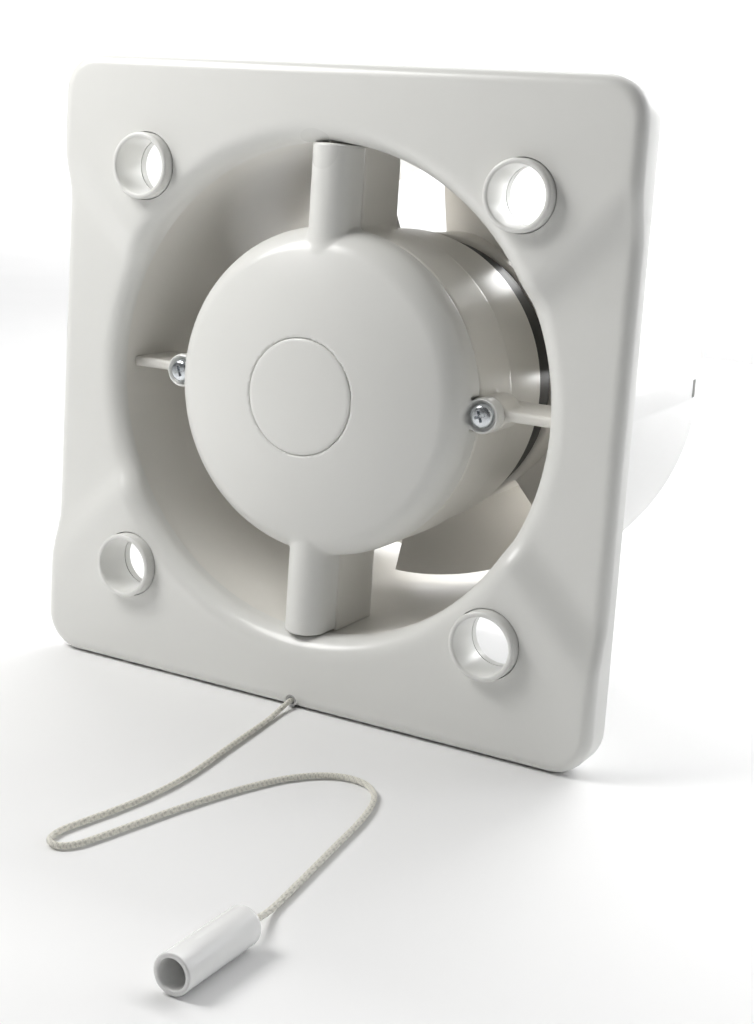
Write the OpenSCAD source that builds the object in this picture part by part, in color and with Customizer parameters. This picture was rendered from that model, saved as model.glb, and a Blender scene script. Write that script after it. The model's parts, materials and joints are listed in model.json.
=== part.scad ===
// Bathroom extractor fan: base unit for a 125 mm duct, with a pull-cord switch.
// Front faces -Y, +Y runs back along the duct, +Z is up.
// The origin is on the duct's axis, at the wall plane.

/* [Front plate] */
// Width and height of the square front plate
plate_w = 156; // [150:1:170]
// Depth of the plate at its corners
plate_t = 9.5; // [9:0.5:12]
// How far the middle of each side is set back
side_recess = 3; // [2:0.5:3.5]
// Radius of the plate's corners
corner_r = 10; // [8:1:14]
// Rounding of the plate's front edge
edge_r = 3; // [2:0.5:3]
// Spacing of the four panel sockets, across and up
socket_pitch = 102; // [100:1:104]

/* [Duct] */
// Outer radius of the duct spigot
spigot_r = 62.3; // [61:0.1:63]
// Length of the spigot behind the wall plane
spigot_len = 94; // [90:1:110]
// Radius of the inlet inside the plate
inlet_r = 59.2; // [58.5:0.1:59.5]

/* [Motor and impeller] */
// Outer radius of the motor housing and dome
dome_r = 40; // [39:0.5:41]
// Number of impeller blades
blades = 7; // [5:1:8]
// Pitch of the blades, in degrees from the plane of rotation
blade_pitch = 27; // [24:1:28]

/* [Pull cord] */
// Diameter of the cord
cord_d = 1.3; // [1:0.1:1.5]

/* [Hidden] */
$fn = 96;
eps = 0.01;
gap = 0.15;           // seam between mouldings
wall = 2;             // usual wall of a moulding
half_w = plate_w / 2;
skirt = 2.2;          // wall of the plate's rim
face_t = 2.4;         // wall of the plate's face
flange_t = 2;
flange_w = plate_w - 5.2;
tube_r = inlet_r + 0.6; // inside of the duct
collar_r = spigot_r + 0.6; // the duct's root, inside the flange
collar_y = 0.5;       // and its end
rib_t = 2.5;
fixing_x = 70;        // the wall fixing holes
fixing_z = 30;
cable_z = 69;         // the cable entry
seam_y = 1.7;         // joint between the dome and the motor bracket
cup_y = 19.5;         // back of the bracket, front of the motor cup
shell_y = 39.6;       // back of the motor cup
hub_y = 52.3;         // front of the impeller's hub
strut_w = 10.6;       // width of the wings and struts
strut_y = -3.8;       // centre of the wings' half-round front
floor_z = -half_w;    // the surface that the fan stands on
screw_x = 42.3;       // the two dome screws
boss_r = 4.25;
boss_back = 11;       // how far back the screw bosses reach
head_room_r = 3.5;    // pocket round each dome screw's head
head_seat_y = -1.5;   // and its floor
ball_r = 113;         // the dome is part of a ball of this radius
ball_y = 98.2;        // and its centre
cap_r = 13.9;         // round cap in the dome
bush_r = 8.2;
bush_bore_r = 6.9;
bush_proud = 3;
recess_from = 27;     // where the two 45 degree edges of each recess would meet
recess_soft = 5;      // half width of the recess's sloping edge
plate_screw_at = 66;
hub_r = 37.6;
blade_tip_r = 57.5;
blade_mid_y = 62.5;
blade_bend = 100;     // radius of the blades' camber
blade_spread = 23;    // half the angle that a blade covers, seen from the front
blade_turn = 10;      // where the first blade rests, clockwise from the top
shaft_r = 2;
shaft_run = 0.03;     // running clearance of the shaft in its bearings
motor_screw_x = 15;
leg_z = -28;          // underside of the stator's leg, which carries the coil
leg_h = 8;            // and its height
motor_screw_z = 5;
lead_hole = [-24, -10];
guide_z = floor_z + 1.65;
bell_at = [57, -115, floor_z + 3.7];
bell_len = 22;
bell_r = 3.7;
lever_y = 6;
lever_z = -20;
lever_arm = 10.5;

// Colours
white = [0.93, 0.93, 0.92];
cream = [0.88, 0.86, 0.80];
black = [0.08, 0.08, 0.08];
steel = [0.72, 0.73, 0.75];
iron = [0.45, 0.46, 0.48];
copper = [0.72, 0.42, 0.22];
brass = [0.80, 0.66, 0.34];
grey = [0.70, 0.71, 0.72];

// ---------- shared shapes ----------

// Turns a profile of (radius, y) about the duct's axis.
module turn_y() {
    rotate([-90, 0, 0]) rotate_extrude($fn = 180) children();
}

// A cylinder along +Y from y0 to y1, at (x, z).
module rod_y(r, y0, y1, x = 0, z = 0) {
    translate([x, y0, z]) rotate([-90, 0, 0]) cylinder(r = r, h = y1 - y0);
}

// A cylinder along X, centred on x = 0, at (y, z).
module rod_x(r, len, y, z) {
    translate([0, y, z]) rotate([0, 90, 0]) cylinder(r = r, h = len, center = true);
}

// A box from one corner to the other.
module block(a, b) {
    translate(a) cube(b - a);
}

// A flat outline of (x, z), from y0 back to y1.
module slab(y0, y1) {
    translate([0, y1, 0]) rotate([90, 0, 0]) linear_extrude(y1 - y0) children();
}

module round_square(w, r) {
    square([w, w - 2 * r], center = true);
    square([w - 2 * r, w], center = true);
    for (sx = [-1, 1], sz = [-1, 1]) translate([sx, sz] * (w / 2 - r)) circle(r);
}

module at_corners(d) {
    for (sx = [-1, 1], sz = [-1, 1]) translate([sx * d, 0, sz * d]) children();
}

// A pan-head screw along +Y: the head's face at y0, and a cross recess.
module pan_screw(r, head_r, head_h, y0, y1) {
    difference() {
        union() {
            rod_y(head_r, y0 + 0.5, y0 + head_h);
            intersection() {
                rod_y(head_r, y0, y0 + head_h);
                translate([0, y0 + 4.6, 0]) sphere(4.6);
            }
            rod_y(r, y0 + head_h - eps, y1);
        }
        for (turn = [0, 90]) rotate([0, turn, 0])
            block([-head_r * 0.55, y0 - 1, -head_r * 0.13], [head_r * 0.55, y0 + head_h * 0.55, head_r * 0.13]);
    }
}

// One ring of a tube at point i of a path. No stretch of the path runs along the vector across.
function ring(p, i, r, sides, across) =
    let (along = unit(p[min(i + 1, len(p) - 1)] - p[max(i - 1, 0)]),
         side = unit(cross(along, across)),
         up = cross(side, along))
    [for (k = [0 : sides - 1]) p[i] + r * (cos(360 * k / sides) * side + sin(360 * k / sides) * up)];

function unit(v) = v / norm(v);

// A round tube along a path.
module tube(p, r, sides = 8, across = [0, 0, 1]) {
    points = [for (i = [0 : len(p) - 1]) each ring(p, i, r, sides, across)];
    last = (len(p) - 1) * sides;
    skin = [for (i = [0 : len(p) - 2], k = [0 : sides - 1])
        let (a = i * sides + k, b = i * sides + (k + 1) % sides) [a, b, b + sides, a + sides]];
    ends = [[for (k = [sides - 1 : -1 : 0]) k], [for (k = [0 : sides - 1]) last + k]];
    polyhedron(points, concat(skin, ends));
}

// ---------- front plate ----------

// Half of the rim's section: width, depth and a rounded front edge.
module edge_section(half, depth, r) {
    translate([-half, 0]) square([2 * half, depth - r]);
    translate([r - half, 0]) square([2 * (half - r), depth]);
    for (s = [-1, 1]) translate([s * (half - r), depth - r]) circle(r);
}

// A square block with round corners and a rounded front edge, from y = -front to y = back.
module soft_block(half, r, front, back) {
    depth = front + back;
    translate([0, back, 0]) {
        for (turn = [0, 90]) rotate([0, turn, 0])
            linear_extrude(2 * (half - r), center = true) mirror([0, 1]) edge_section(half, depth, edge_r);
        at_corners(half - r) rotate([90, 0, 0]) rotate_extrude() intersection() {
            edge_section(r, depth, edge_r);
            square([r, depth]);
        }
    }
}

// A soft step from 0 to 1 as s goes from -1 to 1.
function soft_step(s) = (1 + sin(90 * s)) / 2;

// The slope along one edge of a side recess, as a long prism.
module recess_slope(front) {
    steps = 10;
    slope = [for (i = [0 : steps])
        let (s = 2 * i / steps - 1) [recess_soft * s, side_recess * soft_step(s) - front]];
    linear_extrude(4 * plate_w, center = true)
        polygon(concat([[-recess_soft, -2 * front]], slope, [[plate_w, side_recess - front], [plate_w, -2 * front]]));
}

// The set-back middle of the left and right sides.
module side_recesses(front) {
    for (side = [0, 1]) mirror([side, 0, 0]) translate([recess_from, 0, 0]) intersection() {
        rotate([0, 45, 0]) recess_slope(front);
        rotate([0, -45, 0]) recess_slope(front);
    }
}

module plate_form(half, r, front, back) {
    difference() {
        soft_block(half, r, front, back);
        side_recesses(front);
    }
}

// The bell mouth: the inlet and its rounded lip.
module inlet_cut() {
    lip = 5;
    turn_y() {
        translate([0, -2 * plate_t]) square([inlet_r, 3 * plate_t]);
        difference() {
            translate([0, -2 * plate_t]) square([inlet_r + lip, plate_t + lip]);
            translate([inlet_r + lip, lip - plate_t]) circle(lip);
            translate([inlet_r, lip - plate_t]) square([2 * lip, lip]);
        }
    }
}

module front_plate() color(white) difference() {
    plate_form(half_w, corner_r, plate_t, 0);
    difference() {
        plate_form(half_w - skirt, corner_r - skirt, plate_t - face_t, wall);
        rod_y(inlet_r + 2.5, -2 * plate_t, -flange_t - 0.2);
        at_corners(socket_pitch / 2) rod_y(bush_r + 1.6, -plate_t, -flange_t - 0.2);
        at_corners(plate_screw_at) rod_y(3.2, -plate_t, -flange_t - 0.2);
    }
    inlet_cut();
    at_corners(socket_pitch / 2) rod_y(bush_r + 0.05, -2 * plate_t, 1);
    at_corners(plate_screw_at) rod_y(1.5, -plate_t + 1.9, 1);
    // slots for the supply cable above and the cord below
    block([-3, -5.6, inlet_r - 1], [3, -1, inlet_r + 4]);
    block([-1.5, -5.6, -inlet_r - 4], [1.5, -1, 1 - inlet_r]);
    // seat of the cord guide
    rod_y(1.6, -2 * plate_t, -2, 0, guide_z);
}

module panel_bushes() color(white)
    at_corners(socket_pitch / 2) difference() {
        union() {
            rod_y(bush_r, -plate_t - bush_proud + 0.8, -flange_t - gap);
            translate([0, -plate_t - bush_proud + 0.8, 0]) rotate([90, 0, 0]) rotate_extrude()
                translate([bush_bore_r + 0.5, 0]) intersection() {
                    circle(0.8);
                    translate([-0.8, -0.8]) square([1.6, 1.6]);
                }
        }
        rod_y(bush_bore_r, -2 * plate_t, 1);
    }

// ---------- flange, duct and bracket ----------

module wall_flange() color(white) difference() {
    slab(-flange_t, 0) round_square(flange_w, corner_r - skirt - 0.4);
    rod_y(collar_r + 0.05, -flange_t - 1, 1);
    at_corners(plate_screw_at) rod_y(1.5, -flange_t - 1, 1);
    at_corners(plate_screw_at) translate([0, eps, 0]) rotate([90, 0, 0]) cylinder(r1 = 3, r2 = 1.4, h = 1.6);
    at_corners(socket_pitch / 2) rod_y(bush_bore_r, -flange_t - 1, 1);
    for (sx = [-1, 1], sz = [-1, 1]) rod_y(2.3, -flange_t - 1, 1, sx * fixing_x, sz * fixing_z);
    rod_y(5.05, -flange_t - 1, 1, 0, cable_z);
}

module duct_tube() color(white) difference() {
    union() {
        rod_y(spigot_r, 0, spigot_len);
        rod_y(collar_r, -flange_t, collar_y);
    }
    rod_y(tube_r, -flange_t - 1, spigot_len + 1);
    // latch slots
    for (s = [-1, 1]) translate([s * spigot_r, spigot_len - 5, 0]) cube([1.6, 2.2, 5], center = true);
}

// What carries the motor: a ring with a floor, two hollow struts, two ribs and two screw bosses.
module motor_bracket() color(white) difference() {
    intersection() {
        union() {
            rod_y(dome_r, seam_y, cup_y);
            block([-strut_w / 2, seam_y, -tube_r], [strut_w / 2, cup_y, tube_r]);
            block([-tube_r, seam_y, -rib_t / 2], [tube_r, cup_y, rib_t / 2]);
            for (s = [-1, 1]) rod_y(boss_r, seam_y, boss_back, s * screw_x);
        }
        rod_y(tube_r - 0.05, 0, 2 * cup_y);
    }
    // the wiring space inside the ring and its two struts
    rod_y(dome_r - wall, seam_y - 1, cup_y - wall);
    block([wall - strut_w / 2, seam_y - 1, -tube_r - 1], [strut_w / 2 - wall, cup_y - wall, tube_r + 1]);
    // bores for the dome screws, motor screws, bearing and leads
    for (s = [-1, 1]) {
        rod_y(1.5, seam_y - 1, boss_back - 1, s * screw_x);
        rod_y(1.7, cup_y - 4, cup_y + 1, s * motor_screw_x, motor_screw_z);
    }
    rod_y(6, cup_y - 4, cup_y + 1);
    rod_y(2.5, cup_y - 4, cup_y + 1, lead_hole[0], lead_hole[1]);
}

module plate_screws() color(steel)
    at_corners(plate_screw_at) difference() {
        union() {
            rod_y(1.4, -7.4, -1);
            rotate([90, 0, 0]) translate([0, 0, 0.05]) cylinder(r1 = 2.85, r2 = 1.4, h = 1.5);
        }
        for (turn = [0, 90]) rotate([0, turn, 0]) block([-1.6, -0.9, -0.35], [1.6, 1, 0.35]);
    }

module cable_grommet() color(grey)
    difference() {
        union() {
            rod_y(5, -flange_t - 0.8, 0, 0, cable_z);
            rod_y(6, -flange_t - 1.6, -flange_t - eps, 0, cable_z);
        }
        rod_y(3.5, -6, 2, 0, cable_z);
    }

// ---------- dome cover ----------

// Solid dome of (radius, y), with its rounded rim and its straight band.
module dome_profile(inset) {
    rim = 5.5;
    rim_x = dome_r - rim;
    rim_y = ball_y - sqrt(pow(ball_r - rim, 2) - rim_x * rim_x);
    back = seam_y - gap;
    touch_x = rim_x * ball_r / (ball_r - rim);
    intersection() {
        translate([0, ball_y]) circle(ball_r - inset, $fn = 180);
        translate([0, -20]) square([touch_x - inset * 0.5, 20 + back]);
    }
    intersection() {
        translate([rim_x, rim_y]) circle(rim - inset);
        translate([0, -20]) square([dome_r, 20 + back]);
    }
    translate([0, rim_y]) square([dome_r - inset, back - rim_y]);
}

// The half-round wings above and below, from z = 0 to the duct wall.
module wings(inset) {
    half = strut_w / 2 - inset;
    intersection() {
        union() {
            translate([0, strut_y, 0]) cylinder(r = half, h = 3 * dome_r, center = true);
            block([-half, strut_y, -1.5 * dome_r], [half, seam_y - gap, 1.5 * dome_r]);
        }
        rod_y(inlet_r - 0.2, -20, 20);
    }
}

module dome_cover() color(white) difference() {
    union() {
        turn_y() dome_profile(0);
        wings(0);
        for (s = [-1, 1]) rod_y(boss_r, head_seat_y - 1.1, seam_y - gap, s * screw_x);
    }
    turn_y() dome_profile(wall);
    rod_y(dome_r - wall, -2, 3);
    wings(wall);
    translate([0, 0.7, 0]) wings(wall);
    for (s = [-1, 1]) {
        rod_y(1.6, -5, 5, s * screw_x);
        rod_y(head_room_r, -20, head_seat_y, s * screw_x);
    }
    turn_y() cap_profile(cap_r + gap, 0.8);
}

// The round cap's section: the dome's outer skin, to a given radius and depth.
module cap_profile(r, depth) {
    difference() {
        intersection() {
            translate([0, ball_y]) circle(ball_r + 0.01, $fn = 180);
            translate([0, -20]) square([r, 20]);
        }
        translate([0, ball_y]) circle(ball_r - depth, $fn = 180);
    }
}

module dome_cap() color(white) intersection() {
    turn_y() cap_profile(cap_r, 0.75);
    turn_y() translate([0, -30]) square([cap_r, 30]);
}

module cover_screws() color(steel)
    for (s = [-1, 1]) translate([s * screw_x, 0, 0]) pan_screw(1.4, 2.9, 2, -3.55, 9);

// ---------- motor ----------

module motor_cup() color(white) turn_y()
    polygon([[dome_r - 2.6, cup_y + gap], [dome_r - 0.5, cup_y + gap], [dome_r - 1.1, shell_y], [dome_r - 4, shell_y],
        [dome_r - 4, shell_y - wall], [dome_r - 3.1, shell_y - wall]]);

module motor_end_shell() color(black) turn_y()
    polygon([[9, hub_y - 3], [dome_r - 5.2, hub_y - 3], [dome_r - 5.2, shell_y + 0.05], [dome_r - 3.2, shell_y + 0.05],
        [dome_r - 3.2, hub_y - 1], [9, hub_y - 1]]);

module stator_core() color(iron) difference() {
    block([-18, 26, leg_z], [18, 42, 17]);
    block([-12, 20, leg_z + leg_h], [12, 50, -13.2]);
    rod_y(12.4, 20, 50);
    for (s = [-1, 1]) rod_y(1.7, 20, 50, s * motor_screw_x, motor_screw_z);
}

// A frame around the stator's lower leg: outer size less its window.
module coil_frame(x0, x1, out) {
    difference() {
        block([x0, 26 - out, leg_z - out], [x1, 42 + out, leg_z + leg_h + out]);
        block([x0 - 1, 25.7, leg_z - 0.3], [x1 + 1, 42.3, leg_z + leg_h + 0.3]);
    }
}

module coil_bobbin() color(cream) {
    coil_frame(-10, 10, 0.9);
    coil_frame(-11.4, -10, 4.3);
    coil_frame(10, 11.4, 4.3);
}

module coil_winding() color(copper) difference() {
    block([-9.9, 22.3, leg_z - 3.7], [9.9, 45.7, leg_z + leg_h + 3.7]);
    block([-12, 25, leg_z - 1], [12, 43, leg_z + leg_h + 1]);
}

module bearing_bracket(y0, y1) {
    difference() {
        union() {
            block([-18, y0, 1], [18, y1, 9]);
            rod_y(9, y0, y1);
        }
        rod_y(5.05, y0 - 1, y1 + 1);
        for (s = [-1, 1]) rod_y(1.7, y0 - 1, y1 + 1, s * motor_screw_x, motor_screw_z);
    }
}

module front_bracket() color(grey) {
    bearing_bracket(20, 23.5);
    for (s = [-1, 1]) bracket_leg(s, 23.5 - eps, 25.95);
}

module rear_bracket() color(grey) {
    bearing_bracket(44.5, 48);
    for (s = [-1, 1]) bracket_leg(s, 42.05, 44.5 + eps);
}

module bracket_leg(s, y0, y1) difference() {
    rod_y(3.4, y0, y1, s * motor_screw_x, motor_screw_z);
    rod_y(1.7, y0 - 1, y1 + 1, s * motor_screw_x, motor_screw_z);
}

module bearing(y0, y1) color(brass) difference() {
    rod_y(5, y0, y1);
    rod_y(shaft_r + shaft_run, y0 - 1, y1 + 1);
}

module front_bearing() bearing(19.8, 24);

module rear_bearing() bearing(44, 48.5);

module motor_screws() color(steel)
    for (s = [-1, 1]) translate([s * motor_screw_x, 0, motor_screw_z])
        pan_screw(1.6, 3, 2, cup_y - wall - 2.05, 49.1);

module motor_nuts() color(steel)
    for (s = [-1, 1]) difference() {
        translate([s * motor_screw_x, 48.05, motor_screw_z]) rotate([-90, 0, 0]) cylinder(r = 3.1, h = 1.2, $fn = 6);
        rod_y(1.65, 40, 60, s * motor_screw_x, motor_screw_z);
    }

module rotor_core() color(iron) difference() {
    rod_y(12, 25.5, 42.5);
    rod_y(shaft_r + 0.01, 20, 60);
}

module motor_shaft() color(steel) rod_y(shaft_r, 20.2, 73);

// ---------- impeller ----------

// One blade, at the top of the hub: a sloping curved plate between two radial edges, leading edge to the right.
module blade() {
    thick = 1.8;
    reach = 2 * blade_tip_r;
    intersection() {
        translate([0, blade_mid_y, 0]) rotate([0, 0, -blade_pitch]) linear_extrude(reach) intersection() {
            translate([0, blade_bend - 1]) difference() {
                circle(blade_bend + thick / 2, $fn = 360);
                circle(blade_bend - thick / 2, $fn = 360);
            }
            square([80, 20], center = true);
        }
        turn_y() translate([hub_r - 0.8, 0]) square([blade_tip_r - hub_r + 0.8, 90]);
        translate([0, 90, 0]) rotate([90, 0, 0]) linear_extrude(60)
            polygon([[0, 0], [reach * tan(blade_spread), reach], [-reach * tan(blade_spread), reach]]);
    }
}

module impeller() color(cream) {
    for (i = [0 : blades - 1]) rotate([0, 360 / blades * i + blade_turn, 0]) blade();
    difference() {
        union() {
            turn_y() difference() {
                translate([0, hub_y]) square([hub_r, 25]);
                translate([-1, hub_y + 2.2]) square([hub_r - 1, 30]);
            }
            rod_y(6.5, hub_y, 69);
            for (i = [0 : 5]) rotate([0, 60 * i, 0]) block([-0.8, hub_y + 1, 5], [0.8, 66, hub_r - 1]);
        }
        rod_y(shaft_r + 0.01, 50, 80);
    }
}

module impeller_clip() color(steel) difference() {
    rod_y(4.5, 69.05, 70);
    rod_y(shaft_r + 0.01, 60, 80);
}

// ---------- wiring ----------

module terminal_block() color(cream) difference() {
    block([-27, 6.5, 12], [-3, cup_y - wall - 0.05, 23]);
    for (i = [0 : 2]) {
        rod_y(2.05, 5, 12, -23 + 8 * i, 17.5);
        translate([-23 + 8 * i, 14, 17.5]) cylinder(r = 1.7, h = 20, center = true);
    }
}

module terminal_screws() color(brass)
    for (i = [0 : 2]) translate([-23 + 8 * i, 0, 17.5]) difference() {
        rod_y(1.95, 7.6, 11.9);
        block([-3, 7, -0.3], [3, 8.5, 0.3]);
    }

module cable_clamp() color(cream) difference() {
    union() {
        block([-11, 9, 26.5], [11, 11.5, 32]);
        for (s = [-1, 1]) rod_y(2.8, 9, cup_y - wall - 0.05, s * 8.2, 29.2);
    }
    for (s = [-1, 1]) rod_y(1.55, 5, 16, s * 8.2, 29.2);
}

module clamp_screws() color(steel)
    for (s = [-1, 1]) translate([s * 8.2, 0, 29.2]) pan_screw(1.5, 2.6, 1.8, 7.15, 15.8);

module motor_leads() color("firebrick")
    for (i = [0 : 1])
        tube([[-23 + 8 * i, 14, 11.9], [-23 + 8 * i, 14, 4], [-25.1 + 2.2 * i, 14.5, -8],
            [-25.1 + 2.2 * i, 16, -10], [-25.1 + 2.2 * i, 22, -10], [-24 + 2.2 * i, 24, -13],
            [-22 + 2.2 * i, 24, -18 - 3 * i], [-17, 24, -22 - 3 * i], [-11.5, 24, -22 - 3 * i]], 0.8, 8, [1, 1, 0.5]);

module switch_leads() color("royalblue")
    for (i = [0 : 1])
        tube([[-7 + 3 * i, 14, 11.9], [-7 + 3 * i, 14, 4], [-5.5 + 3 * i, 14, -6], [-5.5 + 3 * i, 14, -12.9]],
            0.7, 8, [1, 1, 0.5]);

// ---------- pull switch ----------

module switch_body() color(cream) difference() {
    block([-9, 1, -33], [9, cup_y - wall - 0.05, -13]);
    block([-7, 0, -31], [7, 15, -15]);
    block([-2, 0, -35], [2, 9, -12]);
    rod_x(1.05, 30, lever_y, lever_z);
}

module switch_cover() color(cream) difference() {
    block([-9, -0.5, -33], [9, 0.95, -13]);
    block([-2.2, -2, -31], [2.2, 4, -14.5]);
}

module switch_contacts() color(brass)
    for (s = [-1, 1]) {
        block([s * 5 - 1.2, 14.4, -30], [s * 5 + 1.2, 14.95, -17]);
        block([s * 5 - 1, 11.5, -28.5], [s * 5 + 1, 14.45, -28]);
    }

module switch_pin() color(steel) rod_x(1, 17.9, lever_y, lever_z);

module switch_spring() color(steel) translate([3.4, 0, 0]) difference() {
    rod_x(2.1, 2.4, lever_y, lever_z);
    rod_x(1.3, 4, lever_y, lever_z);
}

module switch_lever() color(grey) difference() {
    union() {
        rod_x(2.4, 3.2, lever_y, lever_z);
        block([-1.9, lever_y - lever_arm - 2.4, lever_z - 0.9], [1.9, lever_y - lever_arm + 2.6, lever_z + 0.9]);
        block([-1.2, lever_y - lever_arm, lever_z - 0.9], [1.2, lever_y, lever_z + 0.9]);
        block([-1.2, lever_y, lever_z - 0.7], [1.2, lever_y + 5.5, lever_z + 0.7]);
    }
    rod_x(1.04, 10, lever_y, lever_z);
    block([-0.95, lever_y - lever_arm - 3, lever_z - 2], [0.95, lever_y - lever_arm + 1.2, lever_z + 2]);
}

// The part of the cord inside the unit, from its stop knot above the lever down into the plate.
module inner_cord() color(cream) {
    translate([0, lever_y - lever_arm, -69]) cylinder(r = cord_d / 2, h = 51.6, $fn = 24);
    translate([0, lever_y - lever_arm, lever_z + 2.6]) sphere(1.2, $fn = 32);
}

module cord_guide() color(grey) difference() {
    rod_y(1.55, -plate_t + 0.4, -3.2, 0, guide_z);
    rod_y(cord_d / 2 + 0.2, -20, 0, 0, guide_z);
}

// ---------- cord ----------

lie_z = floor_z + cord_d / 2 + 0.05;
// The cord's route: out of the guide, down to the surface, along it in an S and up to the bell.
cord_route = [
    [0, -2.6, guide_z], [0, -6, guide_z], [0, -10, guide_z], [0.4, -15, lie_z + 0.3],
    [1.4, -21, lie_z], [2.6, -30, lie_z], [4.2, -43, lie_z], [6, -56, lie_z], [6.8, -66, lie_z],
    [6.6, -76, lie_z], [5.4, -86, lie_z], [4, -94, lie_z], [3.2, -100, lie_z], [4.2, -104.4, lie_z],
    [7.2, -105.6, lie_z], [9.8, -102.6, lie_z], [11.4, -96, lie_z], [13, -88, lie_z], [15, -78, lie_z],
    [17.4, -68, lie_z], [20.4, -58.5, lie_z], [24, -50, lie_z], [28.6, -44, lie_z], [34, -41, lie_z],
    [39.6, -41.6, lie_z], [43.8, -45.4, lie_z], [46.6, -52, lie_z], [48.6, -61, lie_z], [50.2, -72, lie_z],
    [52, -84, lie_z], [53.6, -95, lie_z], [54.8, -103, lie_z + 0.2], [56, -109, lie_z + 1.4],
    [56.9, -114, bell_at[2] - 0.2], [57, -119, bell_at[2]], [57, -126.4, bell_at[2]]];

// A point between b and c of a smooth curve through a, b, c, d.
function between(a, b, c, d, t) =
    0.5 * (2 * b + (c - a) * t + (2 * a - 5 * b + 4 * c - d) * t * t + (3 * b - a - 3 * c + d) * t * t * t);

// The route with one more point in the middle of each step.
function smooth(p) = [for (i = [0 : len(p) - 2], t = [0, 0.5])
    between(p[max(i - 1, 0)], p[i], p[i + 1], p[min(i + 2, len(p) - 1)], t), p[len(p) - 1]];

module pull_cord() color(cream) tube(smooth(cord_route), cord_d / 2);

module cord_knot() color(cream) translate(bell_at - [0, 13, 0]) sphere(2.1, $fn = 48);

module pull_bell() color(white) translate(bell_at) difference() {
    rotate([90, 0, 0]) rotate_extrude() difference() {
        union() {
            translate([0, 1.8]) square([bell_r, bell_len - 1.8]);
            square([bell_r - 1.8, bell_len]);
            translate([bell_r - 1.8, 1.8]) circle(1.8);
        }
        translate([-bell_r, -1]) square([bell_r, bell_len + 2]);
    }
    rod_y(2.7, -bell_len - 1, -8);
    rod_y(cord_d / 2 + 0.2, -bell_len - 1, 1);
}

front_plate();
panel_bushes();
wall_flange();
duct_tube();
motor_bracket();
plate_screws();
cable_grommet();
dome_cover();
dome_cap();
cover_screws();
motor_cup();
motor_end_shell();
stator_core();
coil_bobbin();
coil_winding();
front_bracket();
rear_bracket();
front_bearing();
rear_bearing();
motor_screws();
motor_nuts();
rotor_core();
motor_shaft();
impeller();
impeller_clip();
terminal_block();
terminal_screws();
cable_clamp();
clamp_screws();
motor_leads();
switch_leads();
switch_body();
switch_cover();
switch_contacts();
switch_pin();
switch_spring();
switch_lever();
inner_cord();
cord_guide();
pull_cord();
cord_knot();
pull_bell();
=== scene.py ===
import json
import math

import bmesh
import bpy
import numpy as np
import openvdb
from mathutils import Matrix, Vector


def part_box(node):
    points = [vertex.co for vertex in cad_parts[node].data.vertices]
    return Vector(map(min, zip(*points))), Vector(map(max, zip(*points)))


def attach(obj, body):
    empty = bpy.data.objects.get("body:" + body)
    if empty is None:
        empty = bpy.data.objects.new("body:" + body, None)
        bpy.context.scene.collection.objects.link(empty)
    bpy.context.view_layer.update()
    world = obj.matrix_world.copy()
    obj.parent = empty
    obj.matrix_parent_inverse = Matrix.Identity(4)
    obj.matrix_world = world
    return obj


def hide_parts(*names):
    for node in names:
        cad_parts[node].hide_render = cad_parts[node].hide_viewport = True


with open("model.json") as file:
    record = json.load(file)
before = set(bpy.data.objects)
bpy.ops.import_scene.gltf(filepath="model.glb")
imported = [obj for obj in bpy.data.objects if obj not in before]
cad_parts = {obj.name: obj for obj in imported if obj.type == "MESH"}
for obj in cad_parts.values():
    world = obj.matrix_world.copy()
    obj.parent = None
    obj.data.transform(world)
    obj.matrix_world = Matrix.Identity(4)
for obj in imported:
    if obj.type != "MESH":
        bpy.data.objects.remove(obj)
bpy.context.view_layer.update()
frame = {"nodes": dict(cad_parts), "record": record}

# ---------- sizes, in millimetres; the shapes are scaled to metres as they are made ----------

MM = 0.001


def box_mm(node):
    low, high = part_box(node)
    return low / MM, high / MM


PLATE_LOW, PLATE_HIGH = box_mm("front_plate")
HALF = PLATE_HIGH.x            # half the plate's width
PLATE_T = -PLATE_LOW.y         # depth of the plate at its corners
SPIGOT_R = box_mm("duct_tube")[1].x    # the duct's widest part, which is the collar at its root
SPIGOT_END = box_mm("duct_tube")[1].y
DUCT_T = 2.5                   # wall of the duct
TUBE_R = SPIGOT_R - DUCT_T     # inside of the duct
INLET_STEP = 0.6               # how much narrower the inlet is
INLET_R = TUBE_R - INLET_STEP  # inside of the plate's inlet
DOME_R = 40.0
SEAM_Y = 1.7                   # joint between the dome and the bracket
GAP = 0.15                     # seam between mouldings
BRACKET_BACK = box_mm("motor_bracket")[1].y
CUP_BACK = box_mm("motor_cup")[1].y
SHELL_BACK = box_mm("motor_end_shell")[1].y
HUB_FRONT = box_mm("impeller")[0].y
WALL = 2.0
STRUT_HALF = 5.3               # half width of the wings and struts
STRUT_Y = -3.8                 # centre of the wings' half-round front
SCREW_X = 42.3
BOSS_R = 4.25
BOSS_BACK = 11.0
HEAD_ROOM = 3.5                # pocket round each dome screw's head
HEAD_SEAT = -1.5
BALL_R = 113.0                 # the dome is part of a ball
BALL_Y = 98.2
DOME_EDGE = 5.5
CAP_R = 13.9
SOCKET = 51.0                  # the sockets' distance from the middle, across and up
BUSH_R = 8.2
BUSH_BORE = 6.9
BUSH_FRONT = box_mm("panel_bushes")[0].y
FLANGE_FRONT = -2.0
LIP_BACK = FLANGE_FRONT - 0.2  # where the plate's inlet and its bushes end
FLOOR_Z = PLATE_LOW.z
GUIDE_Z = FLOOR_Z + 1.65
CORD_D = 1.3
LIE_Z = FLOOR_Z + CORD_D / 2 + 0.05


# ---------- camera ----------

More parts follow.
